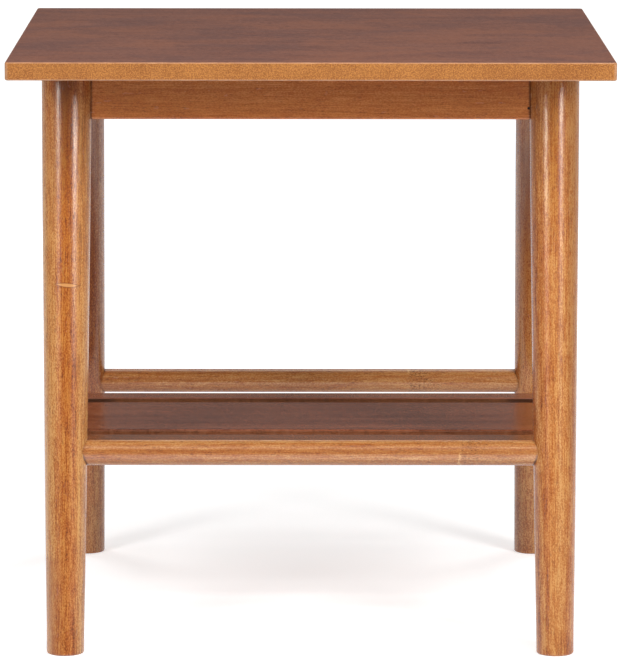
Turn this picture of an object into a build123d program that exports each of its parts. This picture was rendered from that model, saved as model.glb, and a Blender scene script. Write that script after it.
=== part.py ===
"""Square end table: thick slab top, four splayed turned legs, round stretchers, three-board shelf.

Millimetres, +Z up. The origin is on the floor under the middle of the top and the front faces -Y.
The legs lean front to back only, so each side of the table is an A-frame in a plane of constant X.
"""
import os
from math import atan, cos, degrees, hypot, radians

from build123d import *

# ---- overall sizes
top_width = 609.6
top_depth = 609.6
table_height = 609.6
top_thickness = 18.5
top_edge_round = 1.8
top_corner_round = 4.0

# ---- fits between pieces
glue_gap = 0.1
end_room = 1.0

# ---- legs: centre lines set in from the top's edges, taper and swell
leg_inset_x = 54.6
foot_inset_y = 43.3
leg_run = 110.5
leg_head_radius = 25.8
leg_foot_radius = 19.0
leg_swell = 0.65
leg_overrun = 14.0
leg_parts = 4
foot_round = 2.0

# ---- aprons under the top
apron_thickness = 18.0
apron_height = 53.9
apron_setback = 3.0
apron_edge_round = 2.0

# ---- dowels between aprons and legs
dowel_radius = 4.0
dowel_length = 37.0
dowel_stop = 9.0
dowel_depths = (14.0, 39.0)

# ---- round stretchers
stretcher_radius = 13.0
long_stretcher_z = 200.9
side_stretcher_z = 178.0
tenon_radius = 7.0
tenon_stop = 3.0
tenon_root = 30.0

# ---- shelf boards
shelf_top_z = 200.0
shelf_thickness = 12.7
shelf_overhang = 3.0
centre_board_width = 173.0
slat_width = 35.0
slat_gap = 26.0
shelf_top_round = 2.6
shelf_under_round = 1.2

# ---- corner blocks
block_height = 30.0
block_nose = 20.0
block_wing = 64.0
block_end = 12.0
block_bury = 8.0

# ---- screws
screw_shank_radius = 2.0
screw_head_radius = 4.0
screw_head_depth = 2.8
counterbore_radius = 4.6
counterbore_reach = 60.0
top_screw_length = 34.0
top_screw_sink = 8.0
top_screw_inset = 26.0
block_screw_length = 26.0
block_screw_seat = 14.0
block_screw_along = 44.0
shelf_screw_length = 26.0
shelf_screw_sink = 5.0
centre_board_screw_y = 60.0

# ---- values that follow from the sizes above
leg_height = table_height - top_thickness
leg_offset_x = top_width / 2 - leg_inset_x
leg_foot_y = top_depth / 2 - foot_inset_y
leg_length = hypot(leg_run, leg_height)
splay = degrees(atan(leg_run / leg_height))
apron_half_y = apron_thickness / 2 / cos(radians(splay))
apron_setback_y = apron_setback / cos(radians(splay))
apron_bottom_z = leg_height - apron_height
apron_offset_x = leg_offset_x - apron_setback
apron_inner_x = apron_offset_x - apron_thickness / 2
slat_centre_y = centre_board_width / 2 + slat_gap + slat_width / 2
shelf_bottom_z = shelf_top_z - shelf_thickness
shelf_length = 2 * (leg_offset_x + stretcher_radius + shelf_overhang)

corners = {
    "front_left": (-1, -1),
    "front_right": (1, -1),
    "rear_left": (-1, 1),
    "rear_right": (1, 1),
}
ends = {"front": -1, "rear": 1}
sides = {"left": -1, "right": 1}


def axis_y(z):
    """Distance of a leg's centre line from the middle of the table at height z."""
    return leg_foot_y - leg_run * z / leg_height


def apron_y(z):
    """Distance of the middle of the front or rear apron from the middle of the table at height z."""
    return axis_y(z) - apron_setback_y


def inner_apron_y(z):
    """Distance of the inner face of the front or rear apron from the middle at height z."""
    return apron_y(z) - apron_half_y


def leg_radius(along):
    """Radius of the turned leg at a distance along its centre line: straight taper plus swell."""
    part = along / leg_length
    taper = leg_foot_radius + (leg_head_radius - leg_foot_radius) * part
    return taper + leg_swell * 4 * part * (1 - part)


def rod(start, direction, radius, length):
    """Straight round bar from a start point."""
    return Solid.make_cylinder(radius, length, Plane(origin=start, z_dir=direction))


def turned_form(side_x, side_y, grow):
    """Leg as turned, leaning in place and too long at both ends, its radius grown all over."""
    low = -leg_overrun
    high = leg_length + leg_overrun
    stations = [low] + [leg_length * step / leg_parts for step in range(1, leg_parts)] + [high]
    flank = [(leg_radius(along) + grow, along) for along in stations]
    outline = Polyline(*flank, (0, high), (0, low), close=True)
    blank = revolve(Plane.XZ * make_face(outline), Axis.Z)
    return Pos(side_x * leg_offset_x, side_y * leg_foot_y, 0) * Rot(side_y * splay, 0, 0) * blank


def screw(length):
    """Washer-head screw along +Z from the back of its head."""
    head = rod((0, 0, 0), (0, 0, 1), screw_head_radius, screw_head_depth)
    return head + rod((0, 0, 0), (0, 0, 1), screw_shank_radius, length)


def screw_hole(length):
    """Pilot hole for a screw, under a counterbore whose flat floor seats the head."""
    pilot = rod((0, 0, 0), (0, 0, 1), screw_shank_radius + glue_gap, length + end_room)
    seat = (0, 0, screw_head_depth)
    return pilot + rod(seat, (0, 0, -1), counterbore_radius, counterbore_reach)


def aimed(shape, start, direction):
    """A shape drawn along +Z, moved to start and turned to run along the direction."""
    return Plane(origin=start, z_dir=direction).location * shape


def block_outline(side_x, side_y):
    """Plan of a corner block, measured from the inner faces of the two aprons it joins."""
    points = [
        (0, block_nose),
        (0, block_wing),
        (block_end, block_wing),
        (block_wing, block_end),
        (block_wing, -block_bury),
        (block_nose + block_bury, -block_bury),
    ]
    origin_y = inner_apron_y(leg_height)
    places = [(side_x * (apron_inner_x - u), side_y * (origin_y - v)) for u, v in points]
    return make_face(Polyline(*places, close=True))


def named(shape, name):
    """Give a finished piece its name and write its file."""
    shape.label = name
    export_step(shape, "parts/" + name + ".step")


def main():
    os.makedirs("parts", exist_ok=True)

    # ---- turned forms: exact for the legs, grown by the glue gap for the copes that fit over them
    cope = {name: turned_form(*corner, glue_gap) for name, corner in corners.items()}

    # ---- where every screw goes: length, head point, direction
    top_screws = []
    block_screws = []
    shelf_screws = []
    block_mid_z = leg_height - block_height / 2
    for side_x, side_y in corners.values():
        corner_y = inner_apron_y(leg_height)
        seat_z = leg_height - block_height + top_screw_sink
        seat = (side_x * (apron_inner_x - top_screw_inset), side_y * (corner_y - top_screw_inset), seat_z)
        top_screws.append((top_screw_length, seat, (0, 0, 1)))
        across_y = side_y * (inner_apron_y(block_mid_z) - block_screw_seat)
        across = (side_x * (apron_inner_x - block_screw_along), across_y, block_mid_z)
        block_screws.append((block_screw_length, across, (0, side_y, 0)))
        along_y = side_y * (corner_y - block_screw_along)
        along = (side_x * (apron_inner_x - block_screw_seat), along_y, block_mid_z)
        block_screws.append((block_screw_length, along, (side_x, 0, 0)))
        for screw_y in (centre_board_screw_y, slat_centre_y):
            low_z = side_stretcher_z - stretcher_radius + shelf_screw_sink
            shelf_screws.append(
                (shelf_screw_length, (side_x * leg_offset_x, side_y * screw_y, low_z), (0, 0, 1))
            )

    def drilled(shape, screws):
        """A wooden piece with the holes of a set of screws."""
        for length, start, direction in screws:
            shape = shape - aimed(screw_hole(length), start, direction)
        return shape

    # ---- top panel
    panel = Pos(0, 0, table_height - top_thickness / 2) * Box(top_width, top_depth, top_thickness)
    panel = fillet(panel.edges().filter_by(Axis.Z), top_corner_round)
    rims = panel.faces().sort_by(Axis.Z)[-1].edges() + panel.faces().sort_by(Axis.Z)[0].edges()
    panel = fillet(rims, top_edge_round)
    named(drilled(panel, top_screws), "table_top")

    # ---- dowels: two at each meeting of an apron and a leg
    dowels = []
    sockets = []
    for side_x, side_y in corners.values():
        for depth in dowel_depths:
            z = leg_height - depth
            near = (side_x * (leg_offset_x - dowel_stop), side_y * apron_y(z), z)
            side = (side_x * apron_offset_x, side_y * (axis_y(z) - dowel_stop), z)
            for start, direction in ((near, (-side_x, 0, 0)), (side, (0, -side_y, 0))):
                dowels.append(rod(start, direction, dowel_radius, dowel_length))
                back = Vector(*start) - Vector(*direction) * end_room
                bore = dowel_length + 2 * end_room
                sockets.append(rod(back, direction, dowel_radius + glue_gap, bore))
    named(Compound(children=dowels), "apron_dowels")

    # ---- mortises for the stretcher tenons
    mortises = {}
    for name, (side_x, side_y) in corners.items():
        stop = tenon_stop - end_room
        long_start = (side_x * (leg_offset_x - stop), side_y * axis_y(long_stretcher_z), long_stretcher_z)
        side_y_stop = side_y * (axis_y(side_stretcher_z) - stop)
        side_start = (side_x * leg_offset_x, side_y_stop, side_stretcher_z)
        mortise_radius = tenon_radius + glue_gap
        mortises[name] = [
            rod(long_start, (-side_x, 0, 0), mortise_radius, tenon_root),
            rod(side_start, (0, -side_y, 0), mortise_radius, tenon_root),
        ]

    # ---- legs: turned, cut level with the floor and the underside of the top, foot softened
    span = 2 * (leg_foot_y + top_depth)
    between = Pos(0, 0, leg_height / 2) * Box(span, span, leg_height)
    for name, (side_x, side_y) in corners.items():
        leg = turned_form(side_x, side_y, 0) & between
        leg = fillet(leg.edges().sort_by(Axis.Z)[0], foot_round)
        for bore in mortises[name]:
            leg = leg - bore
        for socket in sockets:
            if socket.center().X * side_x > 0 and socket.center().Y * side_y > 0:
                leg = leg - socket
        named(leg, "leg_" + name)

    # ---- front and rear aprons: boards that lean with the legs, level top and bottom edges
    for end, side_y in ends.items():
        outline = [
            (side_y * (apron_y(leg_height) - apron_half_y), leg_height),
            (side_y * (apron_y(leg_height) + apron_half_y), leg_height),
            (side_y * (apron_y(apron_bottom_z) + apron_half_y), apron_bottom_z),
            (side_y * (apron_y(apron_bottom_z) - apron_half_y), apron_bottom_z),
        ]
        section = make_face(Polyline(*outline, close=True))
        board = extrude(Plane.YZ * section, leg_offset_x, both=True)
        low_edges = board.faces().sort_by(Axis.Z)[0].edges().filter_by(Axis.X)
        board = fillet(low_edges, apron_edge_round)
        for side in sides:
            board = board - cope[end + "_" + side]
        for socket in sockets:
            board = board - socket
        named(drilled(board, block_screws), "apron_" + end)

    # ---- left and right aprons: upright boards with ends cut to the splay
    for side, side_x in sides.items():
        outline = [
            (-axis_y(leg_height), leg_height),
            (axis_y(leg_height), leg_height),
            (axis_y(apron_bottom_z), apron_bottom_z),
            (-axis_y(apron_bottom_z), apron_bottom_z),
        ]
        section = make_face(Polyline(*outline, close=True))
        board = extrude(Plane.YZ * section, apron_thickness / 2, both=True)
        board = Pos(side_x * apron_offset_x, 0, 0) * board
        low_edges = board.faces().sort_by(Axis.Z)[0].edges().filter_by(Axis.Y)
        board = fillet(low_edges, apron_edge_round)
        for end in ends:
            board = board - cope[end + "_" + side]
        for socket in sockets:
            board = board - socket
        named(drilled(board, block_screws), "apron_" + side)

    # ---- corner blocks: one face bevelled to the leaning apron
    for name, (side_x, side_y) in corners.items():
        block = Pos(0, 0, leg_height - block_height) * extrude(block_outline(side_x, side_y), block_height)
        outline = [
            (side_y * inner_apron_y(leg_height), leg_height),
            (side_y * (inner_apron_y(leg_height) + top_depth), leg_height),
            (side_y * (inner_apron_y(apron_bottom_z) + top_depth), apron_bottom_z),
            (side_y * inner_apron_y(apron_bottom_z), apron_bottom_z),
        ]
        bevel = extrude(Plane.YZ * make_face(Polyline(*outline, close=True)), top_width, both=True)
        block = block - bevel
        named(drilled(block, top_screws + block_screws), "corner_block_" + name)

    # ---- front and rear stretchers: round bars coped over the legs, with round tenons
    for end, side_y in ends.items():
        y = side_y * axis_y(long_stretcher_z)
        bar = rod((-leg_offset_x, y, long_stretcher_z), (1, 0, 0), stretcher_radius, 2 * leg_offset_x)
        for side, side_x in sides.items():
            bar = bar - cope[end + "_" + side]
            tip = (side_x * (leg_offset_x - tenon_stop), y, long_stretcher_z)
            bar = bar + rod(tip, (-side_x, 0, 0), tenon_radius, tenon_root)
        named(bar, "stretcher_" + end)

    # ---- left and right stretchers: the same bar, lower down, and bored for the shelf screws
    for side, side_x in sides.items():
        half = axis_y(side_stretcher_z)
        x = side_x * leg_offset_x
        bar = rod((x, -half, side_stretcher_z), (0, 1, 0), stretcher_radius, 2 * half)
        for end, side_y in ends.items():
            bar = bar - cope[end + "_" + side]
            tip = (x, side_y * (half - tenon_stop), side_stretcher_z)
            bar = bar + rod(tip, (0, -side_y, 0), tenon_radius, tenon_root)
        named(drilled(bar, shelf_screws), "stretcher_" + side)

    # ---- shelf boards: housed over the side stretchers
    boards = {
        "shelf_board_centre": (0, centre_board_width),
        "shelf_slat_front": (-slat_centre_y, slat_width),
        "shelf_slat_rear": (slat_centre_y, slat_width),
    }
    for name, (y, width) in boards.items():
        board = Pos(0, y, shelf_bottom_z + shelf_thickness / 2) * Box(shelf_length, width, shelf_thickness)
        upper = board.faces().sort_by(Axis.Z)[-1].edges()
        board = fillet(upper, shelf_top_round)
        lower = board.faces().sort_by(Axis.Z)[0].edges()
        board = fillet(lower, shelf_under_round)
        for side_x in sides.values():
            start = (side_x * leg_offset_x, -leg_foot_y, side_stretcher_z)
            housing = rod(start, (0, 1, 0), stretcher_radius + glue_gap, 2 * leg_foot_y)
            board = board - housing
        named(drilled(board, shelf_screws), name)

    # ---- screws
    groups = {"top_screws": top_screws, "block_screws": block_screws, "shelf_screws": shelf_screws}
    for name, places in groups.items():
        pieces = [aimed(screw(length), start, direction) for length, start, direction in places]
        named(Compound(children=pieces), name)


main()
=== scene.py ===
"""Finish and studio for a square end table of stained wood with a low open shelf.

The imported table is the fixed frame. Each operator gives one group of pieces its wood or metal,
and the last one lays the floor and sets the lamps and the camera.
"""
import math
from typing import NamedTuple

import bpy
import numpy as np
from mathutils import Matrix, Vector


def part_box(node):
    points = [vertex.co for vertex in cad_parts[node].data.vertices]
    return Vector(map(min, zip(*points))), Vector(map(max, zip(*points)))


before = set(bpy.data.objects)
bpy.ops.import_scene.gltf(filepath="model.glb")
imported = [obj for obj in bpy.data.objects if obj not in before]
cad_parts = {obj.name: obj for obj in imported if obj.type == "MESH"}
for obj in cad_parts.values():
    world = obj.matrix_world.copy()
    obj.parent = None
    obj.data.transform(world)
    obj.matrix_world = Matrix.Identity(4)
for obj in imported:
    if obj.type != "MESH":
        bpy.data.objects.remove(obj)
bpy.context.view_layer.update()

bl_info = {
    "name": "End Table Finish",
    "version": (1, 0, 0),
    "blender": (4, 5, 0),
    "location": "3D View > Sidebar > End Table",
    "description": "Stained wood, steel and studio for an end table with a shelf",
    "category": "Object",
}

# The rear right leg's centre line at the floor and under the top, its radii there and its swell
LEG_FOOT = (0.2502, 0.2615, 0.0)
LEG_HEAD = (0.2502, 0.1510, 0.5911)
LEG_RADIUS = (0.0190, 0.0258)
LEG_SWELL = 0.00065

CORNERS = {
    "front_left": (-1, -1),
    "front_right": (1, -1),
    "rear_left": (-1, 1),
    "rear_right": (1, 1),
}
ALONG_X = (1, 0, 0)
ALONG_Y = (0, 1, 0)
WHITE = (1.0, 1.0, 1.0)
WARM_WHITE = (1.0, 0.95, 0.88)


# ---------------------------------------------------------------- grain of the wood

class Layer(NamedTuple):
    """One noise of the grain, with its features to a metre along the grain and across it.

    Fewer along than across make streaks, and fewer across than along make ripples.
    """

    along: float
    across: float
    detail: float = 2.0
    rough: float = 0.5
    warp: float = 0.0


WOBBLE = Layer(2.2, 14.0)
BAND = Layer(1.1, 40.0, rough=0.55, warp=0.3)
REDNESS = Layer(1.6, 62.0)
STREAK = Layer(3.2, 150.0, detail=3.0, rough=0.6)
MOTTLE = Layer(50.0, 170.0, rough=0.6)
CURL = Layer(60.0, 22.0, detail=1.0, warp=0.4)
FIBRE = Layer(28.0, 760.0, rough=0.65)
SPECKLE = Layer(520.0, 900.0, detail=1.0)
PORE = Layer(190.0, 950.0, detail=1.0)

# Tones at which the pale, light, dark and deep stains stand
STAIN_STOPS = (0.0, 0.36, 0.70, 1.0)

# Spans of a ring and of the noises over which the wood changes
RING_DARKENS = (0.35, 0.92)
RING_PALES = (1.0, 0.94)
PORES_THICKEN = (0.35, 0.62, 0.35, 1.0)
WOOD_REDDENS = (0.46, 0.70)

# What streaks and mottle add to the roughness, and pores, fibres and specks to the relief
LACQUER_IOR = 1.62
STREAK_GLOSS = 0.10
MOTTLE_GLOSS = 0.16
RELIEF_DEPTH = 0.0003
PORE_RELIEF = -0.6
FIBRE_RELIEF = 0.5
SPECKLE_RELIEF = 0.35


class Seeds(NamedTuple):
    """Places in the noise for pieces of one kind, so that no two have the same grain."""

    first: float
    step: float

    def of(self, number):
        return self.first + number * self.step


# How far a seed of 1 moves a piece through the noise
SEED_WAY = (1.37, 0.71, 2.13)
TOP_SEED = 3.0
LEG_SEEDS = Seeds(11.0, 5.0)
RAIL_SEEDS = Seeds(40.0, 3.0)
BLOCK_SEEDS = Seeds(114.0, 3.0)
BOARD_SEEDS = Seeds(150.0, 7.0)


class Stripe(NamedTuple):
    """Long stripe down a leg, in one of the stains of LegLook; some stripes paint shade under the
    table top.

    Its middle lies off the leg's centre line by offset. It fades in between the heights low and
    high, and is full above high. Where high is below low, it is full below high instead.
    """

    stain: str
    strength: float
    offset: float
    half_width: float
    low: float
    high: float
    blend: str = "MIX"


# Low and high of a stripe that runs the whole leg, and half width of one that covers it
UNDER_FLOOR = (-0.3, -0.2)
WHOLE_WIDTH = 0.034

# Bends of a stripe to a metre, and the share of its half width at which it is full
STRIPE_BENDS = 9.0
STRIPE_CORE = 0.3

STRIPES = {
    "front_left": (
        Stripe("heart", 0.95, 0.0, 0.0105, *UNDER_FLOOR, "MULTIPLY"),
        Stripe("heart", 0.75, 0.0, 0.0125, 0.20, 0.28, "MULTIPLY"),
        # Darker centre towards the top: partly the wood's dark streak, partly painted shade under
        # the table top's overhang.
        Stripe("deep", 0.58, -0.004, 0.0125, 0.43, 0.585),
        # Painted shade across the leg just under the table top.
        Stripe("deep", 0.60, 0.0, 0.020, 0.545, 0.585),
        Stripe("gold", 0.50, 0.017, 0.009, 0.585, 0.54, "SCREEN"),
        Stripe("gold", 0.32, -0.0165, 0.009, 0.585, 0.54, "SCREEN"),
        Stripe("ember", 0.45, -0.017, 0.011, 0.40, 0.54, "SCREEN"),
        Stripe("dark", 0.40, -0.017, 0.018, 0.0990, 0.0955),
    ),
    "front_right": (
        Stripe("heart", 1.0, 0.0, 0.0095, 0.36, 0.50, "MULTIPLY"),
        Stripe("gold", 0.16, 0.002, 0.009, 0.47, 0.34, "SCREEN"),
        Stripe("gold", 0.25, -0.018, 0.010, 0.42, 0.52, "SCREEN"),
        Stripe("deep", 0.25, 0.018, 0.009, 0.10, 0.25),
    ),
    "rear_left": (
        Stripe("heart", 0.35, 0.0, WHOLE_WIDTH, 0.02, 0.20, "MULTIPLY"),
        Stripe("gold", 0.22, 0.0, WHOLE_WIDTH, 0.14, 0.06, "SCREEN"),
        # Painted shade and a painted purplish sheen high on the rear leg, under the table top.
        Stripe("shade", 0.85, 0.0, WHOLE_WIDTH, 0.10, 0.46),
    ),
    "rear_right": (
        Stripe("heart", 0.55, 0.0, WHOLE_WIDTH, 0.02, 0.20, "MULTIPLY"),
        # Painted shade and a painted purplish sheen high on the rear leg, under the table top.
        Stripe("shade", 0.85, 0.0, WHOLE_WIDTH, 0.24, 0.46),
    ),
}


class Figure(NamedTuple):
    """How many times stronger a leg's specks and pores are, and its streaks and fibres."""

    grit: float = 1.0
    line: float = 1.0


LEG_FIGURES = {"front_left": Figure(0.95, 1.65), "front_right": Figure(0.75, 1.35)}


class Branch(NamedTuple):
    """Pale line round a rail at x, between two heights, where a small branch grew."""

    x: float
    low: float
    high: float
    strength: float


BRANCHES = {
    "stretcher_front": Branch(0.1525, 0.1860, 0.2020, 0.65),
    "stretcher_rear": Branch(0.1090, 0.2105, 0.2160, 0.8),
}

# Bends and breaks of a branch line to a metre, its sway, its fade at both heights and sideways
BRANCH_BENDS = 210.0
BRANCH_BREAKS = 520.0
BRANCH_BROKEN = (0.36, 0.56, 0.15, 1.0)
BRANCH_SWAY = 0.008
BRANCH_FADE = 0.0015
BRANCH_WIDTH = (0.0019, 0.0004)

# Specks beside it to a metre each way, their span of the noise, and where they start and end
SPECKS = (420.0, 900.0, 900.0)
SPECK_SHOWS = (0.52, 0.66)
SPECKS_START = (0.0005, 0.003)
SPECKS_END = (0.055, 0.006)

# Depths at which the scar comes in towards the front, and its dark rim and soft outline
SCAR_FRONT = (-0.180, -0.195)
SCAR_RIM = (0.0014, 0.0002, 0.0, 0.6)
SCAR_OUTLINE = (-0.0004, 0.0008)

# Distance from a leg over which a joint line fades, and heights on the front rail with the
# strength of its joint lines at each
JOINT_FADE = (0.0004, 0.0026)
FRONT_RAIL_JOINT = (0.192, 0.206, 0.85, 0.25)

# Patches and flecks of the flat faces to a metre each way, and their spans of the noise
PATCHES = (10.0, 13.0, 1.0)
PATCH_WARMS = (0.50, 0.66)
PATCH_COOLS = (0.50, 0.36)
FLECKS = (150.0, 190.0, 1.0)
FLECK_PALES = (0.52, 0.72)
FLECK_DARKENS = (0.48, 0.28)

# Grains and slow runs of the top panel's edge to a metre, and spots of its pale corner lines
EDGE_GRAINS = 800.0
EDGE_RUNS = 17.0
RUN_STRENGTH = 0.35
EDGE_DARKENS = (0.46, 0.86)
# The pale corner lines are partly wear and partly a painted highlight.
ARRIS_SPOTS = 60.0

# Parts of the normal at which an edge becomes a flat, a corner line or a front edge
TOP_FLAT = (0.55, 0.9)
BOARD_FLAT = (0.5, 0.9)
CORNER_LINE = (0.998, 0.93)
FACES_FRONT = (-0.5, -0.9)

# Distance to a side at which painted shade darkens the rear slat's front edge near the legs
NEAR_LEGS = (0.204, 0.224)

PLATING_GRAINS = 900.0
PLATING_UNEVEN = 0.2
DOWEL_GRAINS = 400.0


# ---------------------------------------------------------------- lamps and camera

class Lamp(NamedTuple):
    """Rectangular lamp at a place, facing a target, upright.

    It shows in gloss if shine is set and lights surfaces if light is set, and it reaches only the
    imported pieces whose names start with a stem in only, where that is given. No two lamps share a
    plane, because only the first of them would show in gloss.
    """

    name: str
    place: tuple
    target: tuple
    width: float
    height: float
    power: float
    tone: tuple = WHITE
    shine: bool = True
    light: bool = True
    only: tuple = ()


FRAMEWORK = ("leg_", "stretcher_", "apron_")
LEFT_LEG = "leg_front_left"
BUT_LEFT_LEG = tuple(
    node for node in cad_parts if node.startswith(FRAMEWORK) and node != LEFT_LEG
)
AIM = (0, 0, 0.35)
HIGH_AIM = (0, 0, 0.4)


def gloss_lamp(name, place, target, width, height, power, tone=WHITE, only=()):
    """Lamp that shows in gloss and lights nothing."""
    return Lamp(name, place, target, width, height, power, tone, light=False, only=only)


def soft_lamp(name, place, target, width, height, power):
    """Lamp that lights surfaces and doesn't show in gloss."""
    return Lamp(name, place, target, width, height, power, shine=False)


LAMPS = (
    soft_lamp("softbox_left", (-1.75, -2.35, 1.60), AIM, 0.65, 1.3, 36),
    soft_lamp("softbox_right", (1.65, -2.05, 1.60), AIM, 0.65, 1.3, 43),
    gloss_lamp("strip_left", (-1.83, -2.18, 1.564), AIM, 0.62, 1.26, 27, WARM_WHITE, FRAMEWORK),
    gloss_lamp("strip_right", (1.37, -2.153, 1.562), AIM, 0.58, 1.26, 36, WARM_WHITE, BUT_LEFT_LEG),
    gloss_lamp("strip_wide", (1.58, -1.963, 1.547), AIM, 0.86, 1.26, 60, WARM_WHITE, (LEFT_LEG,)),
    gloss_lamp("back_card", (0, 2.1, 2.1), (0, 0, 0.2), 3.2, 1.5, 24, only=("stretcher_",)),
    gloss_lamp("floor_card", (0, -0.64, 0.03), (0, -0.64, 1), 1.6, 0.6, 3.3,
               only=("stretcher_", "leg_")),
    soft_lamp("boom", (0, -1.9, 2.6), HIGH_AIM, 2.6, 1.0, 34),
    gloss_lamp("boom_card", (0, -1.85, 2.55), HIGH_AIM, 2.6, 1.0, 10, WARM_WHITE),
    Lamp("overhead", (0, 0.2, 3.2), (0, 0, 0), 3.0, 3.0, 11),
    soft_lamp("fill_left", (-1.9, 2.3, 1.3), AIM, 1.2, 1.2, 22),
    gloss_lamp("rim_left", (-1.843, 2.23, 1.27), AIM, 0.8, 1.4, 12, WARM_WHITE, FRAMEWORK),
    soft_lamp("fill_right", (1.9, 2.3, 1.3), AIM, 1.2, 1.2, 22),
    gloss_lamp("rim_right", (1.843, 2.23, 1.27), AIM, 0.8, 1.4, 12, WARM_WHITE, FRAMEWORK),
)

CAMERA_PLACE = (-0.00925, -5.10227, 1.09016)
CAMERA_PITCH = 0.155114
CAMERA_YAW = 0.001902
CAMERA_ROLL = 0.001053
CAMERA_SENSOR = 36.0
CAMERA_REACH = 200.0

FLOOR_RINGS = 24
FLOOR_SPOKES = 96

# Distance from the table over which the floor's glow grows to white, and depths in front of it
# over which the floor comes into the gloss
GLOW_GROWS = (0.8, 3.5)
GLOSS_SEES = (-1.4, -0.5)


# ---------------------------------------------------------------- node shorthand

class Graph:
    """Shorthand for one material's nodes. Methods give an output socket unless they say otherwise.

    Place and normal are the Object coordinates, in metres, and the normal of a point on the piece.
    Body is the colour so far, where a finish is laid in steps.
    """

    def __init__(self, name):
        self.material = bpy.data.materials.new(name)
        self.material.use_nodes = True
        self.tree = self.material.node_tree
        self.shader = self.tree.nodes["Principled BSDF"]
        coordinates = self.tree.nodes.new("ShaderNodeTexCoord")
        self.place = coordinates.outputs["Object"]
        self.normal = coordinates.outputs["Normal"]
        self.body = None

    def put(self, socket, value):
        """Link a socket to another socket, or set its constant. Gives nothing."""
        if isinstance(value, bpy.types.NodeSocket):
            self.tree.links.new(value, socket)
        else:
            socket.default_value = value

    def feed(self, name, value):
        """Put a value into one of the shader's own sockets. Gives nothing."""
        self.put(self.shader.inputs[name], value)

    def node(self, kind, inputs, output=0, **settings):
        """One node with its settings and inputs, and the chosen output."""
        made = self.tree.nodes.new(kind)
        for key, value in settings.items():
            setattr(made, key, value)
        for key, value in inputs.items():
            self.put(made.inputs[key], value)
        return made.outputs[output]

    def math(self, operation, first, second=0.0, third=0.0):
        return self.node("ShaderNodeMath", {0: first, 1: second, 2: third}, operation=operation)

    def vector(self, operation, first, second=(0.0, 0.0, 0.0)):
        return self.node("ShaderNodeVectorMath", {0: first, 1: second}, operation=operation)

    def length(self, vector):
        return self.node("ShaderNodeVectorMath", {0: vector}, output=1, operation="LENGTH")

    def axis(self, number, vector=None):
        """One coordinate of a vector, by default of the place on the piece."""
        vector = self.place if vector is None else vector
        return self.node("ShaderNodeSeparateXYZ", {"Vector": vector}, output=number)

    def span(self, value, low, high, bottom=0.0, top=1.0):
        """Smooth step of a value from low to high, given out between bottom and top."""
        ends = {"From Min": low, "From Max": high, "To Min": bottom, "To Max": top}
        return self.node(
            "ShaderNodeMapRange", {"Value": value, **ends}, interpolation_type="SMOOTHSTEP"
        )

    def mix(self, factor, first, second, blend="MIX"):
        """Colour mix by a factor."""
        made = self.tree.nodes.new("ShaderNodeMix")
        made.data_type = "RGBA"
        made.blend_type = blend
        self.put(made.inputs[0], factor)
        self.put(made.inputs[6], first)
        self.put(made.inputs[7], second)
        return made.outputs[2]

    def noise(self, vector, scale=1.0, detail=2.0, rough=0.5, warp=0.0):
        kind = {"Scale": scale, "Detail": detail, "Roughness": rough, "Distortion": warp}
        return self.node("ShaderNodeTexNoise", {"Vector": vector, **kind})

    def vary(self, value, noise, strength):
        """A value plus a noise, taken about zero, times a strength."""
        return self.math("MULTIPLY_ADD", self.math("SUBTRACT", noise, 0.5), strength, value)


def colour(values):
    """Property colour as a four-part colour."""
    return (values[0], values[1], values[2], 1.0)


# ---------------------------------------------------------------- finishes

def late_wood(g, look, local, wobble):
    """Late wood of the growth rings, 1 where it is darkest.

    Rings count the distance from the heart of the log, which lies off the piece, plus a wobble, in
    ring widths. Each one darkens slowly outwards and pales at once.
    """
    side = g.math("ADD", g.axis(1, local), look.heart_side)
    down = g.math("ADD", g.axis(2, local), look.heart_depth)
    squares = g.math("ADD", g.math("MULTIPLY", side, side), g.math("MULTIPLY", down, down))
    rings = g.math("MULTIPLY_ADD", wobble, look.ring_wobble, g.math("SQRT", squares))
    ring = g.math("FRACT", g.math("DIVIDE", rings, look.ring_width))
    return g.math("MULTIPLY", g.span(ring, *RING_DARKENS), g.span(ring, *RING_PALES))


def stained(g, look, tone):
    """Colour of a tone from 0 to 1, from the palest stain to the deepest."""
    ramp = g.tree.nodes.new("ShaderNodeValToRGB")
    for position in STAIN_STOPS[1:-1]:
        ramp.color_ramp.elements.new(position)
    stains = (look.pale, look.light, look.dark, look.deep)
    for stop, position, stain in zip(ramp.color_ramp.elements, STAIN_STOPS, stains):
        stop.position = position
        stop.color = colour(stain)
    g.put(ramp.inputs[0], tone)
    return ramp.outputs[0]


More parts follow.
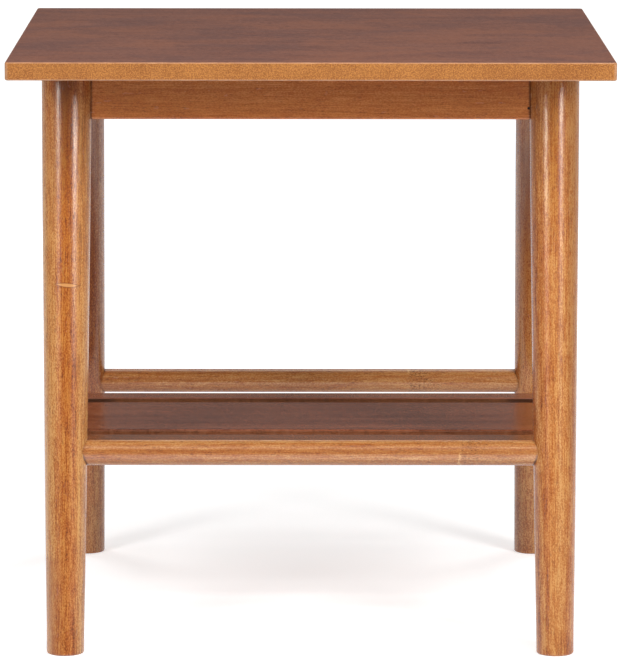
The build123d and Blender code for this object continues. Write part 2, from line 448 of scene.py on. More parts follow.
def wood(name, look, centre, direction, seed, grit=1.0, line=1.0):
    """Stained timber on Object coordinates, in metres.

    Local x runs with the grain. Bands, streaks, mottle, fibres and specks are noises stretched
    along it, each finer than the last. They and the growth rings add up to a tone, and a ramp of
    four stains turns the tone into colour, which redder bands then deepen. Pores are short dark
    dashes with the grain. Grit strengthens specks and pores on one piece, and line its streaks and
    fibres. The lacquer's roughness varies with streaks and mottle. Its relief sinks at pores and
    rises at fibres and specks.
    """
    g = Graph(name)
    turn = Vector(direction).to_track_quat("X", "Z").to_euler()
    local = g.node(
        "ShaderNodeMapping",
        {"Vector": g.place, "Location": centre, "Rotation": turn},
        vector_type="TEXTURE",
    )
    moved = g.vector("ADD", local, tuple(seed * step for step in SEED_WAY))

    def grain(layer):
        """One layer of the grain, as a noise from 0 to 1."""
        stretch = (layer.along * look.figure, layer.across, layer.across)
        stretched = g.vector("MULTIPLY", moved, stretch)
        return g.noise(stretched, 1.0, layer.detail, layer.rough, layer.warp)

    streak = grain(STREAK)
    mottle = grain(MOTTLE)
    fibre = grain(FIBRE)
    speckle = grain(SPECKLE)
    open_pore = g.span(grain(PORE), look.pore_level, look.pore_level + look.pore_edge)
    pore = g.math("MULTIPLY", open_pore, g.span(mottle, *PORES_THICKEN))

    late = late_wood(g, look, local, grain(WOBBLE))
    tone = g.math("MULTIPLY_ADD", late, look.ring_strength, look.base_tone)
    tone = g.vary(tone, grain(BAND), look.band_strength)
    tone = g.vary(tone, streak, look.streak_strength * line)
    tone = g.vary(tone, mottle, look.mottle_strength)
    if look.curl_strength:
        tone = g.vary(tone, grain(CURL), look.curl_strength)
    tone = g.vary(tone, fibre, look.fibre_strength * line)
    tone = g.vary(tone, speckle, look.speckle_strength * grit)
    redden = g.span(grain(REDNESS), *WOOD_REDDENS, 0.0, look.red_strength)
    timber = g.mix(redden, stained(g, look, tone), colour(look.red), "MULTIPLY")
    g.body = g.mix(g.math("MULTIPLY", pore, look.pore_strength * grit), timber, colour(look.pore))
    g.feed("Base Color", g.body)

    rough = g.vary(g.vary(look.roughness, streak, STREAK_GLOSS), mottle, MOTTLE_GLOSS)
    g.feed("Roughness", rough)
    height = g.vary(g.math("MULTIPLY", pore, PORE_RELIEF), fibre, FIBRE_RELIEF)
    height = g.vary(height, speckle, SPECKLE_RELIEF)
    relief = {"Strength": look.bump, "Distance": RELIEF_DEPTH, "Height": height}
    g.feed("Normal", g.node("ShaderNodeBump", relief))
    g.feed("IOR", LACQUER_IOR)
    return g


def beyond_leg(g, rear):
    """Distance from a point to the skin of the nearest leg on one side, front or rear.

    The sideways coordinate is made positive, so one leg stands for both. The distance to the leg's
    axis is the length of the cross product of the way from its foot and the axis direction; the
    leg's radius grows evenly with height, with a slight swell at half height.
    """
    side = 1 if rear else -1
    foot = (LEG_FOOT[0], side * LEG_FOOT[1], 0.0)
    run = Vector((0.0, side * (LEG_HEAD[1] - LEG_FOOT[1]), LEG_HEAD[2]))
    mirrored = g.vector("MULTIPLY", g.vector("ABSOLUTE", g.place), (1.0, 0.0, 0.0))
    mirrored = g.vector("ADD", mirrored, g.vector("MULTIPLY", g.place, (0.0, 1.0, 1.0)))
    reach = g.vector("SUBTRACT", mirrored, foot)
    far = g.length(g.vector("CROSS_PRODUCT", reach, tuple(run.normalized())))
    rise = g.math("DIVIDE", g.axis(2), LEG_HEAD[2])
    arch = g.math("MULTIPLY", rise, g.math("SUBTRACT", 1.0, rise))
    swell = g.math("MULTIPLY", arch, 4.0 * LEG_SWELL)
    skin = g.math("MULTIPLY_ADD", rise, LEG_RADIUS[1] - LEG_RADIUS[0], swell)
    return g.math("SUBTRACT", far, g.math("ADD", skin, LEG_RADIUS[0]))


def joint_line(g, look, node):
    """Darken the stain that gathers in the hairline where a rail or apron meets a leg.

    The line is fainter at the rear, and round the front rail it fades from below upwards.
    """
    rear = node.endswith("rear")
    strength = look.joint_rear if rear else look.joint_front
    if node == "stretcher_front":
        strength = g.span(g.axis(2), *FRONT_RAIL_JOINT)
    line = g.span(beyond_leg(g, rear), *JOINT_FADE, strength, 0.0)
    g.feed("Base Color", g.mix(line, g.body, colour(look.joint)))


def lay_stripe(g, look, leg_x, stripe):
    """Lay one long stripe over a leg's colour: a soft band about one x that drifts a little."""
    half = stripe.half_width
    drift = g.math("SUBTRACT", g.noise(g.place, scale=STRIPE_BENDS), 0.5)
    drifted = g.math("ADD", g.axis(0), g.math("MULTIPLY", drift, half))
    off = g.math("ABSOLUTE", g.math("SUBTRACT", drifted, leg_x + stripe.offset))
    band = g.span(off, half, half * STRIPE_CORE)
    shown = g.math("MULTIPLY", band, g.span(g.axis(2), stripe.low, stripe.high))
    shown = g.math("MULTIPLY", shown, stripe.strength)
    g.body = g.mix(shown, g.body, colour(getattr(look, stripe.stain)), stripe.blend)


def scar(g, look):
    """Pale lens with a dark rim across the front of a leg.

    Its half height is greatest in the middle and falls off as the square of the way to its tip.
    """
    local = g.node(
        "ShaderNodeMapping",
        {"Vector": g.place, "Location": look.scar_place, "Rotation": (0.0, look.scar_tilt, 0.0)},
        vector_type="TEXTURE",
    )
    wide = g.math("DIVIDE", g.axis(0, local), look.scar_half_length)
    lens = g.math("SUBTRACT", 1.0, g.math("MULTIPLY", wide, wide))
    lens = g.math("MULTIPLY", lens, look.scar_half_height)
    inside = g.math("SUBTRACT", lens, g.math("ABSOLUTE", g.axis(2, local)))
    front = g.span(g.axis(1), *SCAR_FRONT)
    rim = g.math("MULTIPLY", g.span(g.math("ABSOLUTE", inside), *SCAR_RIM), front)
    shown = g.math("MULTIPLY", g.span(inside, *SCAR_OUTLINE), front)
    g.body = g.mix(rim, g.body, colour(look.deep))
    g.body = g.mix(shown, g.body, colour(look.scar))


def branch_line(g, look, branch):
    """Broken wavering pale line partly round a rail where a small branch grew.

    Dark specks lie along the grain to its right and thin out away from it.
    """
    fade = BRANCH_FADE
    start = branch.x - BRANCH_SWAY / 2
    bends = g.noise(g.place, scale=BRANCH_BENDS)
    off = g.math("SUBTRACT", g.axis(0), g.math("MULTIPLY_ADD", bends, BRANCH_SWAY, start))
    above = g.span(g.axis(2), branch.low - fade, branch.low + fade)
    below = g.span(g.axis(2), branch.high + fade, branch.high - fade)
    broken = g.span(g.noise(g.place, scale=BRANCH_BREAKS, detail=1.0), *BRANCH_BROKEN)
    parts = g.math("MULTIPLY", broken, g.math("MULTIPLY", above, below))
    core = g.math("MULTIPLY", g.span(g.math("ABSOLUTE", off), *BRANCH_WIDTH), parts)
    specks = g.noise(g.vector("MULTIPLY", g.place, SPECKS), detail=1.0)
    shade = g.math("MULTIPLY", g.span(off, *SPECKS_START), g.span(off, *SPECKS_END))
    shade = g.math("MULTIPLY", shade, g.span(specks, *SPECK_SHOWS, 0.0, branch.strength))
    g.body = g.mix(shade, g.body, colour(look.speck))
    g.body = g.mix(g.math("MULTIPLY", core, branch.strength), g.body, colour(look.branch))


def nick(g, look):
    """Small dark round nick at one end of an apron."""
    far = g.length(g.vector("SUBTRACT", g.place, look.nick_place))
    shown = g.span(far, look.nick_radius, look.nick_radius / 2)
    g.body = g.mix(shown, g.body, colour(look.nick))


def mottled(g, look, base):
    """Flecks of a few millimetres, paler and darker, a little longer with the grain."""
    fleck = g.noise(g.vector("MULTIPLY", g.place, FLECKS), rough=0.6)
    strength = look.fleck_strength
    paler = g.mix(g.span(fleck, *FLECK_PALES, 0.0, strength), base, colour(look.pale))
    return g.mix(g.span(fleck, *FLECK_DARKENS, 0.0, strength), paler, colour(look.deep))


def dress(node, material):
    """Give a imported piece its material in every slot."""
    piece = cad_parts[node]
    for slot in piece.material_slots:
        slot.material = material


def middle(node):
    """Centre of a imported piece."""
    low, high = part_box(node)
    return tuple((low[axis] + high[axis]) / 2 for axis in range(3))


# ---------------------------------------------------------------- sizes and colours

def tint(name, text, default):
    return bpy.props.FloatVectorProperty(
        name=name, description=text, subtype="COLOR", size=3, min=0.0, max=1.0, default=default
    )


def share(name, text, default):
    return bpy.props.FloatProperty(
        name=name, description=text, subtype="FACTOR", min=0.0, max=1.0, default=default
    )


def amount(name, text, default):
    return bpy.props.FloatProperty(name=name, description=text, min=0.0, max=5.0, default=default)


def length(name, text, default):
    return bpy.props.FloatProperty(
        name=name, description=text, unit="LENGTH", subtype="DISTANCE", precision=5, default=default
    )


def spot(name, text, default):
    return bpy.props.FloatVectorProperty(
        name=name, description=text, unit="LENGTH", subtype="TRANSLATION", size=3, default=default
    )


class WoodLook:
    """Values that every stained wood shares."""

    pale: tint("Golden wood", "Palest stain, golden bands", (0.58, 0.285, 0.095))
    light: tint("Light wood", "Stain between the bands", (0.44, 0.155, 0.038))
    dark: tint("Dark wood", "Stain in late wood and streaks", (0.31, 0.083, 0.019))
    deep: tint("Deep wood", "Darkest stain", (0.135, 0.037, 0.011))
    red: tint("Red bands", "What the stain is multiplied by in redder bands", (0.96, 0.76, 0.55))
    pore: tint("Pore", "Colour of open pores", (0.115, 0.034, 0.010))
    joint: tint("Joint line", "Stain gathered where a piece meets a leg", (0.07, 0.020, 0.007))
    joint_front: share("Front joints", "Strength of the joint lines, save at the rear", 0.75)
    joint_rear: share("Rear joints", "Strength of the joint lines at the rear", 0.3)
    base_tone: share("Tone", "Place on the ramp of stains with no figure", 0.36)
    figure: amount("Figure", "How many times shorter the figure is than in straight timber", 1.0)
    red_strength: share("Red", "How far redder bands change the wood", 0.7)
    ring_strength: amount("Rings", "How far growth rings darken the wood", 0.10)
    band_strength: amount("Bands", "How far broad bands change the wood", 1.3)
    streak_strength: amount("Streaks", "How far long streaks change the wood", 0.6)
    mottle_strength: amount("Mottle", "How far short blotches change the wood", 0.7)
    curl_strength: amount("Curl", "How far ripples across the grain change the wood", 0.0)
    fibre_strength: amount("Fibres", "How far fine fibres change the wood", 1.1)
    speckle_strength: amount("Speckle", "How far single specks change the wood", 1.8)
    fleck_strength: share("Flecks", "How far flecks change the wood of a flat face", 0.6)
    pore_strength: share("Pores", "How far pores darken the wood", 0.6)
    pore_level: share("Pore level", "Height of the noise above which a pore opens", 0.61)
    pore_edge: share("Pore edge", "Rise of the noise over which a pore opens", 0.07)
    roughness: share("Roughness", "Roughness of the lacquer", 0.24)
    bump: share("Relief", "Strength of the grain relief", 0.30)
    ring_width: length("Ring width", "Distance between growth rings", 0.007)
    ring_wobble: length("Ring wobble", "How far rings wander", 0.030)
    heart_side: length("Heart to the side", "Sideways distance to the heart of the log", 0.05)
    heart_depth: length("Heart below", "Distance down to the heart of the log", 0.09)


class TopLook(WoodLook, bpy.types.PropertyGroup):
    """Stained veneer and banded edge of the top panel."""

    pale: tint("Golden wood", "Palest stain, golden bands", (0.34, 0.130, 0.080))
    light: tint("Light wood", "Stain between the bands", (0.27, 0.095, 0.058))
    dark: tint("Dark wood", "Stain in late wood and streaks", (0.21, 0.070, 0.044))
    deep: tint("Deep wood", "Darkest stain", (0.13, 0.040, 0.027))
    edge_pale: tint("Pale edge", "Pale grains of the panel's edge", (0.49, 0.202, 0.046))
    edge_dark: tint("Dark edge", "Dark grains of the panel's edge", (0.235, 0.072, 0.013))
    # Partly worn stain, partly a painted highlight along the rounded corner lines.
    arris: tint("Arris", "Worn stain along the softened corner lines", (0.56, 0.29, 0.15))
    warm: tint("Warm patch", "Redder patches of the veneer", (0.345, 0.117, 0.058))
    cool: tint("Cool patch", "Greyer patches of the veneer", (0.185, 0.072, 0.056))
    patch_strength: share("Patches", "How far redder and greyer patches change the veneer", 0.60)
    fleck_strength: share("Flecks", "How far flecks change the veneer", 0.55)
    figure: amount("Figure", "How many times shorter the figure is than in straight timber", 5.0)
    red_strength: share("Red", "How far redder bands change the wood", 0.2)
    band_strength: amount("Bands", "How far broad bands change the wood", 1.2)
    ring_strength: amount("Rings", "How far growth rings darken the wood", 0.04)
    mottle_strength: amount("Mottle", "How far short blotches change the wood", 0.9)
    fibre_strength: amount("Fibres", "How far fine fibres change the wood", 0.6)
    speckle_strength: amount("Speckle", "How far single specks change the wood", 3.4)
    pore_level: share("Pore level", "Height of the noise above which a pore opens", 0.66)
    ring_width: length("Ring width", "Distance between growth rings", 0.022)
    roughness: share("Roughness", "Roughness of the lacquer", 0.34)


class LegLook(WoodLook, bpy.types.PropertyGroup):
    """Turned legs."""

    curl_strength: amount("Curl", "How far ripples across the grain change the wood", 0.28)
    heart: tint("Heart", "What the stain is multiplied by over the heart", (0.90, 0.76, 0.50))
    gold: tint("Gold", "Light screened over golden flanks", (0.25, 0.145, 0.050))
    ember: tint("Ember", "Red light screened over an upper flank", (0.19, 0.035, 0.018))
    # Painted shade and a painted purplish sheen, not a stain: it darkens the rear legs high up
    # under the table top.
    shade: tint("Shade", "Purplish stain high on the rear legs", (0.150, 0.052, 0.030))
    scar: tint("Scar", "Pale lens where a small branch was", (0.58, 0.265, 0.083))
    scar_place: spot("Scar place", "Middle of the pale lens, at any depth", (-0.2482, 0.0, 0.3725))
    scar_half_length: length("Scar half length", "From the lens's middle to its tip", 0.0115)
    scar_half_height: length("Scar half height", "From the lens's middle to its rim", 0.0019)
    scar_tilt: bpy.props.FloatProperty(
        name="Scar tilt", description="Slope of the pale lens", subtype="ANGLE", default=0.085
    )


class ApronLook(WoodLook, bpy.types.PropertyGroup):
    """Aprons and corner blocks, a plainer and finer timber than the legs."""

    pale: tint("Golden wood", "Palest stain, golden bands", (0.65, 0.260, 0.081))
    light: tint("Light wood", "Stain between the bands", (0.54, 0.182, 0.046))
    dark: tint("Dark wood", "Stain in late wood and streaks", (0.435, 0.132, 0.032))
    deep: tint("Deep wood", "Darkest stain", (0.19, 0.054, 0.014))
    nick: tint("Nick", "Colour inside a nick in the front apron", (0.006, 0.003, 0.002))
    nick_place: spot("Nick place", "Middle of the nick", (0.2234, -0.1648, 0.5487))
    nick_radius: length("Nick radius", "Radius at which the nick ends", 0.0018)
    band_strength: amount("Bands", "How far broad bands change the wood", 0.6)
    streak_strength: amount("Streaks", "How far long streaks change the wood", 0.3)
    speckle_strength: amount("Speckle", "How far single specks change the wood", 1.2)
    mottle_strength: amount("Mottle", "How far short blotches change the wood", 0.5)
    pore_strength: share("Pores", "How far pores darken the wood", 0.35)


class StretcherLook(WoodLook, bpy.types.PropertyGroup):
    """Round stretchers."""

    pale: tint("Golden wood", "Palest stain, golden bands", (0.56, 0.290, 0.105))
    light: tint("Light wood", "Stain between the bands", (0.425, 0.166, 0.046))
    dark: tint("Dark wood", "Stain in late wood and streaks", (0.31, 0.092, 0.022))
    branch: tint("Branch", "Pale line where a small branch grew", (0.72, 0.42, 0.16))
    speck: tint("Branch specks", "Dark specks beside the pale line", (0.10, 0.026, 0.008))
    red_strength: share("Red", "How far redder bands change the wood", 0.45)
    streak_strength: amount("Streaks", "How far long streaks change the wood", 0.4)
    mottle_strength: amount("Mottle", "How far short blotches change the wood", 0.45)
    band_strength: amount("Bands", "How far broad bands change the wood", 0.9)
    fibre_strength: amount("Fibres", "How far fine fibres change the wood", 0.8)
    speckle_strength: amount("Speckle", "How far single specks change the wood", 0.9)


class ShelfLook(WoodLook, bpy.types.PropertyGroup):
    """Shelf boards."""

    pale: tint("Golden wood", "Palest stain, golden bands", (0.32, 0.110, 0.053))
    light: tint("Light wood", "Stain between the bands", (0.255, 0.077, 0.036))
    dark: tint("Dark wood", "Stain in late wood and streaks", (0.190, 0.052, 0.024))
    deep: tint("Deep wood", "Darkest stain", (0.11, 0.030, 0.013))
    band_strength: amount("Bands", "How far broad bands change the wood", 1.8)
    streak_strength: amount("Streaks", "How far long streaks change the wood", 1.4)
    fibre_strength: amount("Fibres", "How far fine fibres change the wood", 2.6)
    speckle_strength: amount("Speckle", "How far single specks change the wood", 2.7)
    fleck_strength: share("Flecks", "How far flecks change the boards", 0.65)
    figure: amount("Figure", "How many times shorter the figure is than in straight timber", 2.0)
    # Painted sheen: the rear slat's paler, cooler colour stands in for a pale reflection on its
    # lacquer.
    rear_slat_sheen: tint("Hazy slat", "Paler and cooler stain of the rear slat", (0.38, 0.165, 0.110))
    umber: tint("Umber slat", "Browner stain of the front slat", (0.30, 0.118, 0.040))
    slat_strength: share("Slat stain", "How far its own stain changes a slat", 0.45)
    edge: tint("Board edge", "Stain on the narrow edges", (0.085, 0.035, 0.011))
    edge_strength: share("Edge", "How far the edge stain shows, save at the front", 0.20)
    # Front edges sit in the shaded gaps between boards: their extra darkness is painted shade over
    # the edge stain, most on the rear slat.
    front_edge_shade: share("Front edge", "How far the stain shows on front edges", 0.55)
    rear_slat_edge_shade: share("Rear slat edge", "The same on the rear slat's front edge", 0.75)
    # Painted shade, not a stain: it darkens the rear slat's front edge near the legs, where it lies
    # in deep shade.
    shade_near_legs: tint("Board corner", "Stain on an edge near the legs", (0.030, 0.011, 0.006))
    shade_near_legs_strength: share("Corner stain", "How far the stain near the legs shows", 0.75)
    roughness: share("Roughness", "Roughness of the lacquer", 0.22)


class HardwareLook(bpy.types.PropertyGroup):
    """Screws and dowels."""

    steel: tint("Steel", "Pale colour of the plated screws", (0.62, 0.61, 0.58))
    dull_steel: tint("Dull steel", "Dark colour of the plated screws", (0.42, 0.41, 0.39))
    dowel: tint("Dowel", "Pale colour of the bare dowels", (0.62, 0.42, 0.22))
    dark_dowel: tint("Dark dowel", "Dark colour of the bare dowels", (0.42, 0.25, 0.12))
    roughness: share("Roughness", "Roughness of the plating", 0.32)
    dowel_roughness: share("Dowel roughness", "Roughness of the bare wood", 0.7)


class StageLook(bpy.types.PropertyGroup):
    """Floor, world and lens."""

    floor: tint("Floor", "Colour of the floor", (0.86, 0.86, 0.86))
    floor_radius: length("Floor radius", "Radius of the round floor", 40.0)
    floor_roughness: share("Floor roughness", "Roughness of the floor paper", 0.9)
    glow: share("Floor glow", "Brightness added to the floor that is seen near the table", 0.50)
    wall: tint("Walls", "Colour of the dim room around the floor", (0.15, 0.15, 0.15))
    focal: bpy.props.FloatProperty(
        name="Lens", description="Focal length", unit="CAMERA", default=263.77
    )


# ---------------------------------------------------------------- operators

def finished(operator, count):
    """Report how many pieces an operator dressed."""
    operator.report({"INFO"}, f"{count} pieces")
    return {"FINISHED"}


class TABLE_OT_top(bpy.types.Operator):
    """Finish the top panel: dark veneer on the flats, paler edge, and pale corner lines that are
    partly worn stain and partly painted highlight.
    """

    bl_idname = "table.top"
    bl_label = "Top"

    def execute(self, context):
        look = context.scene.table_top_look
        g = wood("top_wood", look, middle("table_top"), ALONG_X, TOP_SEED)
        spread = g.vector("ABSOLUTE", g.normal)
        across, along, up = (g.axis(number, spread) for number in range(3))
        largest = g.math("MAXIMUM", g.math("MAXIMUM", across, along), up)
        finish = g.mix(g.span(up, *TOP_FLAT), self.edge(g, look), self.veneer(g, look))
        # Pale corner lines: partly worn stain, partly a painted highlight along the rounded
        # arrises.
        arris_breakup = g.noise(g.place, scale=ARRIS_SPOTS, detail=3.0)
        arris_wear_and_highlight = g.math("MULTIPLY", g.span(largest, *CORNER_LINE), arris_breakup)
        g.feed("Base Color", g.mix(arris_wear_and_highlight, finish, colour(look.arris)))
        dress("table_top", g.material)
        return finished(self, 1)

    def veneer(self, g, look):
        """Wood of the flats, with redder and greyer patches a hand wide, and flecks."""
        stretched = g.vector("MULTIPLY", g.place, PATCHES)
        patches = g.noise(stretched, detail=3.0, rough=0.6, warp=0.6)
        strength = look.patch_strength
        warmed = g.mix(g.span(patches, *PATCH_WARMS, 0.0, strength), g.body, colour(look.warm))
        cooled = g.mix(g.span(patches, *PATCH_COOLS, 0.0, strength), warmed, colour(look.cool))
        return mottled(g, look, cooled)

    def edge(self, g, look):
        """Grains of the panel's edge, about a millimetre across, in slow paler and darker runs."""
        runs = g.math("MULTIPLY", g.noise(g.place, scale=EDGE_RUNS), RUN_STRENGTH)
        grains = g.math("ADD", g.noise(g.place, scale=EDGE_GRAINS, detail=1.0, rough=0.6), runs)
        dark = g.span(grains, *EDGE_DARKENS)
        return g.mix(dark, colour(look.edge_pale), colour(look.edge_dark))


class TABLE_OT_legs(bpy.types.Operator):
    """Finish the four turned legs, with the grain along each leaning leg."""

    bl_idname = "table.legs"
    bl_label = "Legs"

    def execute(self, context):
        look = context.scene.table_leg_look
        run = LEG_FOOT[1] - LEG_HEAD[1]
        for number, (name, (side_x, side_y)) in enumerate(CORNERS.items()):
            node = "leg_" + name
            direction = (0.0, -run * side_y, LEG_HEAD[2])
            figure = LEG_FIGURES.get(name, Figure())
            g = wood(node + "_wood", look, middle(node), direction, LEG_SEEDS.of(number), *figure)
            for stripe in STRIPES[name]:
                lay_stripe(g, look, side_x * LEG_FOOT[0], stripe)
            if name == "front_left":
                scar(g, look)
            g.feed("Base Color", g.body)
            dress(node, g.material)
        return finished(self, len(CORNERS))


class TABLE_OT_frame(bpy.types.Operator):
    """Finish the aprons, round stretchers and corner blocks."""

    bl_idname = "table.frame"
    bl_label = "Aprons, stretchers and blocks"

    def execute(self, context):
        scene = context.scene
        looks = {"apron_": scene.table_apron_look, "stretcher_": scene.table_stretcher_look}
        ways = {"front": ALONG_X, "rear": ALONG_X, "left": ALONG_Y, "right": ALONG_Y}
        rails = [(stem, end) for stem in looks for end in ways]
        for number, (stem, end) in enumerate(rails):
            self.rail(looks[stem], stem + end, ways[end], RAIL_SEEDS.of(number))
        for number, (name, (side_x, side_y)) in enumerate(CORNERS.items()):
            node = "corner_block_" + name
            way = (side_x, -side_y, 0)
            look = scene.table_apron_look
            g = wood(node + "_wood", look, middle(node), way, BLOCK_SEEDS.of(number))
            dress(node, g.material)
        return finished(self, len(rails) + len(CORNERS))

    def rail(self, look, node, way, seed):
        """Finish one apron or stretcher, with its marks and the lines of its joints."""
        g = wood(node + "_wood", look, middle(node), way, seed)
        if node == "apron_front":
            nick(g, look)
        if node in BRANCHES:
            branch_line(g, look, BRANCHES[node])
        joint_line(g, look, node)
        dress(node, g.material)


class TABLE_OT_shelf(bpy.types.Operator):
    """Finish the three shelf boards."""

    bl_idname = "table.shelf"
    bl_label = "Shelf boards"

    def execute(self, context):
        look = context.scene.table_shelf_look
        slat_colours = {"shelf_slat_front": look.umber, "shelf_slat_rear": look.rear_slat_sheen}
        boards = ("shelf_board_centre", "shelf_slat_front", "shelf_slat_rear")
        for number, node in enumerate(boards):
            g = wood(node + "_wood", look, middle(node), ALONG_X, BOARD_SEEDS.of(number))
            g.body = mottled(g, look, g.body)
            edge = self.edge(g, look, node == "shelf_slat_rear")
            # The front slat gets its browner stain; the rear slat's tint is a painted sheen of pale
            # reflection.
            if node in slat_colours:
                g.body = g.mix(look.slat_strength, g.body, colour(slat_colours[node]))
            up = g.math("ABSOLUTE", g.axis(2, g.normal))
            g.feed("Base Color", g.mix(g.span(up, *BOARD_FLAT), edge, g.body))
            dress(node, g.material)
        return finished(self, len(boards))

    def edge(self, g, look, rear_slat):
        """Colour of a board's edges: an edge stain, with painted shade that darkens the front edges
        in the gaps between boards, and most the rear slat's front edge near the legs.
        """
        # Front edges are darkened further by painted shade, as they lie in the gaps between boards.
        front = look.rear_slat_edge_shade if rear_slat else look.front_edge_shade
        facing = g.axis(1, g.normal)
        shown = g.span(facing, *FACES_FRONT, look.edge_strength, front)
        edge = g.mix(shown, g.body, colour(look.edge))
        if not rear_slat:
            return edge
        # Painted shade on the rear slat's front edge near the legs.
        near_legs = g.span(g.math("ABSOLUTE", g.axis(0)), *NEAR_LEGS, 0.0, look.shade_near_legs_strength)
        shaded_near_legs = g.math("MULTIPLY", near_legs, g.span(facing, *FACES_FRONT))
        return g.mix(shaded_near_legs, edge, colour(look.shade_near_legs))


class TABLE_OT_hardware(bpy.types.Operator):
    """Finish the screws and the dowels."""

    bl_idname = "table.hardware"
    bl_label = "Screws and dowels"

    def execute(self, context):
        look = context.scene.table_hardware_look
        steel = Graph("zinc_steel")
        grain = steel.noise(steel.place, scale=PLATING_GRAINS)
        steel.feed("Metallic", 1.0)
        smoothest = look.roughness - PLATING_UNEVEN / 2
        steel.feed("Roughness", steel.math("MULTIPLY_ADD", grain, PLATING_UNEVEN, smoothest))
        steel.feed("Base Color", steel.mix(grain, colour(look.steel), colour(look.dull_steel)))
        for node in ("top_screws", "block_screws", "shelf_screws"):
            dress(node, steel.material)
        bare = Graph("bare_dowel")
        grain = bare.noise(bare.place, scale=DOWEL_GRAINS, detail=3.0)
        bare.feed("Base Color", bare.mix(grain, colour(look.dowel), colour(look.dark_dowel)))
        bare.feed("Roughness", look.dowel_roughness)
        dress("apron_dowels", bare.material)
        return finished(self, 4)


def disc(name, radius, rings, spokes):
    """Flat round sheet: point (r cos a, r sin a, 0) on a grid of radius r and angle a."""
    radii = np.linspace(0, radius, rings + 1)[1:]
    r, a = np.meshgrid(radii, np.linspace(0, math.tau, spokes, endpoint=False))
    points = np.stack([r * np.cos(a), r * np.sin(a), np.zeros_like(r)], -1).reshape(-1, 3)
    points = np.vstack([points, [0, 0, 0]])
    spoke, ring = np.meshgrid(np.arange(spokes), np.arange(rings - 1), indexing="ij")
    here = spoke * rings + ring
    there = (spoke + 1) % spokes * rings + ring
    quads = np.stack([here, here + 1, there + 1, there], -1).reshape(-1, 4)
    hub = np.full(spokes, len(points) - 1)
    inner = np.arange(spokes)
    fan = np.stack([hub, inner * rings, (inner + 1) % spokes * rings], -1)
    mesh = bpy.data.meshes.new(name)
    mesh.from_pydata(points.tolist(), [], quads.tolist() + fan.tolist())
    made = bpy.data.objects.new(name, mesh)
    bpy.context.scene.collection.objects.link(made)
    return made


def hang(lamp):
    """Put one lamp of the list into the scene."""
    data = bpy.data.lights.new(lamp.name, "AREA")
    data.shape = "RECTANGLE"
    data.size = lamp.width
    data.size_y = lamp.height
    data.energy = lamp.power
    data.color = lamp.tone
    made = bpy.data.objects.new(lamp.name, data)
    aim = (Vector(lamp.target) - Vector(lamp.place)).to_track_quat("-Z", "Y")
    made.matrix_world = Matrix.Translation(lamp.place) @ aim.to_matrix().to_4x4()
    made.visible_camera = False
    made.visible_glossy = lamp.shine
    made.visible_diffuse = lamp.light
    bpy.context.scene.collection.objects.link(made)
    if lamp.only:
        reached = bpy.data.collections.new(lamp.name + "_reach")
        for node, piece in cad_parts.items():
            if node.startswith(lamp.only):
                reached.objects.link(piece)
        made.light_linking.receiver_collection = reached


def camera_turn():
    """Matrix of the camera's own axes: it looks along +Y, then yaws, pitches and rolls."""
    level = math.cos(CAMERA_PITCH)
    forward = Vector(
        (math.sin(CAMERA_YAW) * level, math.cos(CAMERA_YAW) * level, -math.sin(CAMERA_PITCH))
    )
    right = Vector((math.cos(CAMERA_YAW), -math.sin(CAMERA_YAW), 0.0))
    up = right.cross(forward)
    side = right * math.cos(CAMERA_ROLL) + up * math.sin(CAMERA_ROLL)
    rise = up * math.cos(CAMERA_ROLL) - right * math.sin(CAMERA_ROLL)
    return Matrix((side, rise, -forward)).transposed().to_4x4()


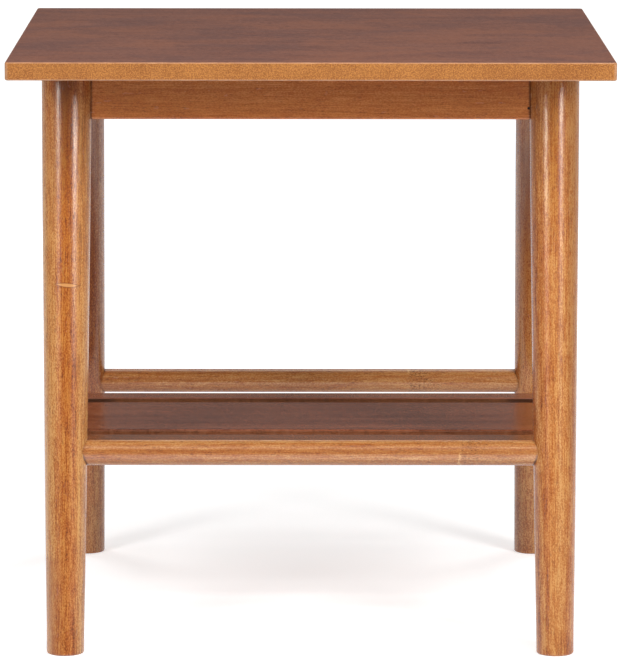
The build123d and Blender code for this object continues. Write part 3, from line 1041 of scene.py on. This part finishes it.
class TABLE_OT_stage(bpy.types.Operator):
    """Lay the pale floor and set the room, the lamps and the camera."""

    bl_idname = "table.stage"
    bl_label = "Stage"

    def execute(self, context):
        scene = context.scene
        look = scene.table_stage_look
        floor = disc("floor", look.floor_radius, FLOOR_RINGS, FLOOR_SPOKES)
        floor.data.materials.append(self.paper(look))

        world = bpy.data.worlds.new("room")
        world.use_nodes = True
        back = world.node_tree.nodes["Background"]
        back.inputs["Color"].default_value = colour(look.wall)
        back.inputs["Strength"].default_value = 1.0
        scene.world = world

        for lamp in LAMPS:
            hang(lamp)

        lens = bpy.data.cameras.new("camera")
        lens.sensor_width = CAMERA_SENSOR
        lens.sensor_fit = "AUTO"
        lens.lens = look.focal
        lens.clip_end = CAMERA_REACH
        camera = bpy.data.objects.new("camera", lens)
        scene.collection.objects.link(camera)
        camera.matrix_world = Matrix.Translation(CAMERA_PLACE) @ camera_turn()
        scene.camera = camera
        scene.view_settings.view_transform = "Standard"
        return finished(self, 1)

    def paper(self, look):
        """Matt paper that glows where it is seen, less near the table so that a shadow shows.

        Gloss sees a dimmer glow, and none of the floor in front of the table.
        """
        g = Graph("floor_paper")
        g.feed("Base Color", colour(look.floor))
        g.feed("Roughness", look.floor_roughness)
        g.feed("Specular IOR Level", 0.0)
        ray = g.tree.nodes.new("ShaderNodeLightPath").outputs
        seen = g.span(g.length(g.place), *GLOW_GROWS, look.glow, 1.0)
        seen = g.math("MULTIPLY", ray["Is Camera Ray"], seen)
        mirror = g.math("MAXIMUM", ray["Is Glossy Ray"], ray["Is Transmission Ray"])
        mirror = g.math("MULTIPLY", mirror, g.span(g.axis(1), *GLOSS_SEES, 0.0, look.glow))
        g.feed("Emission Color", colour(WHITE))
        g.feed("Emission Strength", g.math("MAXIMUM", seen, mirror))
        return g.material


class TABLE_PT_panel(bpy.types.Panel):
    """Sidebar panel that lists the finishes."""

    bl_idname = "TABLE_PT_panel"
    bl_label = "End Table"
    bl_space_type = "VIEW_3D"
    bl_region_type = "UI"
    bl_category = "End Table"

    def draw(self, context):
        for step in STEPS:
            self.layout.operator(step.bl_idname)


GROUPS = {
    "table_top_look": TopLook,
    "table_leg_look": LegLook,
    "table_apron_look": ApronLook,
    "table_stretcher_look": StretcherLook,
    "table_shelf_look": ShelfLook,
    "table_hardware_look": HardwareLook,
    "table_stage_look": StageLook,
}
STEPS = (
    TABLE_OT_top,
    TABLE_OT_legs,
    TABLE_OT_frame,
    TABLE_OT_shelf,
    TABLE_OT_hardware,
    TABLE_OT_stage,
)


def register():
    for group in GROUPS.values():
        bpy.utils.register_class(group)
    for step in STEPS:
        bpy.utils.register_class(step)
    bpy.utils.register_class(TABLE_PT_panel)
    for name, group in GROUPS.items():
        setattr(bpy.types.Scene, name, bpy.props.PointerProperty(type=group))


def unregister():
    for name in GROUPS:
        delattr(bpy.types.Scene, name)
    bpy.utils.unregister_class(TABLE_PT_panel)
    for step in reversed(STEPS):
        bpy.utils.unregister_class(step)
    for group in reversed(list(GROUPS.values())):
        bpy.utils.unregister_class(group)


def main():
    register()
    for step in STEPS:
        family, name = step.bl_idname.split(".")
        getattr(getattr(bpy.ops, family), name)()


if __name__ == "__main__":
    main()
